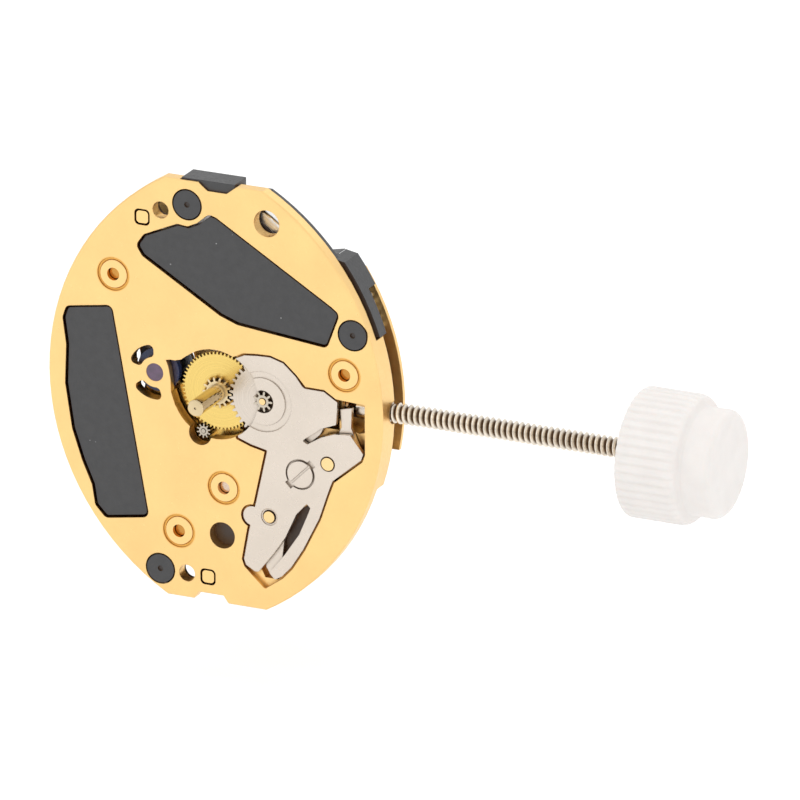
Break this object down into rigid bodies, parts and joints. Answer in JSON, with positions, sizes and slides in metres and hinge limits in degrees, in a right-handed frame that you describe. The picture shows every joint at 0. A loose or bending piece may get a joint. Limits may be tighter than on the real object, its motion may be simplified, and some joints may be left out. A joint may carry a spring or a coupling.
{
  "type": "quartz watch movement",
  "caption": "Thin oval quartz watch movement, dial side open on the hand train and keyless works, with battery, coil and a threaded setting stem ending in a fluted knob.",
  "frame": {"origin": "on the hand arbor's axis, in the plane of the dial face", "axes": "+X towards the stem (three o'clock), +Z towards twelve o'clock, -Y out of the dial face"},
  "size_m": [0.0294, 0.0055, 0.0179],
  "materials": {
    "gilt_plate": "bright gold plating",
    "black_plastic": "fine moulded, charcoal black",
    "brass_fittings": "turned",
    "wheel_brass": "stamped and gilt",
    "jewel": "dark violet ruby",
    "bridge_steel": "nickelled, satin",
    "turned_steel": "turned and polished",
    "stem_steel": "threaded, bright",
    "screw_steel": "polished heads",
    "blue_plastic": "moulded dark blue",
    "magnet": "sintered grey",
    "soft_iron": "annealed grey",
    "copper_wire": "enamelled copper",
    "cheek_plastic": "natural",
    "battery_steel": "nickelled",
    "gasket_plastic": "moulded",
    "board": "amber brown polyimide",
    "resin": "black resin",
    "can_metal": "drawn bright",
    "white_plastic": "moulded white"
  },
  "bodies": {
    "movement": {"main_plate": "gilt_plate", "plastic_frame": "black_plastic", "screw_bushes": "brass_fittings", "foot_posts": "gilt_plate", "rotor_jewel": "jewel", "setting_bridge": "bridge_steel", "bridge_screw": "bridge_steel", "setting_lever_post": "brass_fittings", "yoke_post": "brass_fittings", "minute_wheel_post": "brass_fittings", "centre_tube": "brass_fittings", "third_wheel_post": "turned_steel", "train_bridge": "gilt_plate", "bridge_jewels": "jewel", "train_screws": "screw_steel", "stator": "soft_iron", "coil_core": "soft_iron", "coil_winding": "copper_wire", "coil_cheeks": "cheek_plastic", "coil_screws": "screw_steel", "battery_can": "battery_steel", "battery_cap": "battery_steel", "battery_gasket": "gasket_plastic", "back_plate": "gilt_plate", "battery_strap": "screw_steel", "back_screws": "brass_fittings", "circuit_board": "board", "circuit_chip": "resin", "quartz_can": "can_metal", "negative_contact": "brass_fittings", "positive_contact": "screw_steel"},
    "third": {"third_wheel": "wheel_brass", "third_pinion": "turned_steel"},
    "centre": {"driving_wheel": "wheel_brass", "cannon_pinion": "turned_steel"},
    "minute": {"minute_wheel": "bridge_steel", "minute_pinion": "turned_steel"},
    "intermediate": {"intermediate_wheel": "wheel_brass", "intermediate_pinion": "turned_steel"},
    "rotor": {"rotor_pinion": "blue_plastic", "rotor_magnet": "magnet"},
    "slider": {"sliding_pinion": "turned_steel"},
    "stem": {"stem": "stem_steel", "knob": "white_plastic"},
    "setting_lever": {"setting_lever": "bridge_steel"},
    "yoke": {"yoke": "bridge_steel"}
  },
  "joints": [
    {"name": "third_spin", "type": "hinge", "parent": "movement", "child": "third", "pos_m": [-0.00067, 0.0005, -0.00176], "axis": [0, -1, 0], "continuous": true},
    {"name": "hands_spin", "type": "hinge", "parent": "movement", "child": "centre", "pos_m": [0, 0.0005, 0], "axis": [0, -1, 0], "continuous": true},
    {"name": "minute_spin", "type": "hinge", "parent": "movement", "child": "minute", "pos_m": [0.0021, 0.0003, 0], "axis": [0, -1, 0], "continuous": true},
    {"name": "intermediate_spin", "type": "hinge", "parent": "movement", "child": "intermediate", "pos_m": [-0.00225, 0.0007, -0.001], "axis": [0, -1, 0], "continuous": true},
    {"name": "rotor_spin", "type": "hinge", "parent": "movement", "child": "rotor", "pos_m": [-0.00267, 0.0007, 0.00054], "axis": [0, -1, 0], "continuous": true},
    {"name": "stem_turn", "type": "hinge", "parent": "movement", "child": "slider", "pos_m": [0.0045, 0.0011, 0], "axis": [1, 0, 0], "continuous": true},
    {"name": "stem_pull", "type": "slide", "parent": "slider", "child": "stem", "axis": [1, 0, 0], "range_m": [0, 0.0006]},
    {"name": "setting_lever_swing", "type": "hinge", "parent": "movement", "child": "setting_lever", "pos_m": [0.00497, 0.0003, -0.00222], "axis": [0, 1, 0], "range_deg": [0, 15]},
    {"name": "yoke_swing", "type": "hinge", "parent": "movement", "child": "yoke", "pos_m": [0.00236, 0.0003, -0.00488], "axis": [0, -1, 0], "range_deg": [0, 3.2]}
  ],
  "couplings": [
    {"joint": "hands_spin", "follows": "third_spin", "ratio": -0.16667},
    {"joint": "minute_spin", "follows": "third_spin", "ratio": 0.064815},
    {"joint": "intermediate_spin", "follows": "third_spin", "ratio": -5},
    {"joint": "rotor_spin", "follows": "third_spin", "ratio": 15},
    {"joint": "setting_lever_swing", "follows": "stem_pull", "rad_per_m": 436.3},
    {"joint": "yoke_swing", "follows": "stem_pull", "rad_per_m": 93}
  ]
}
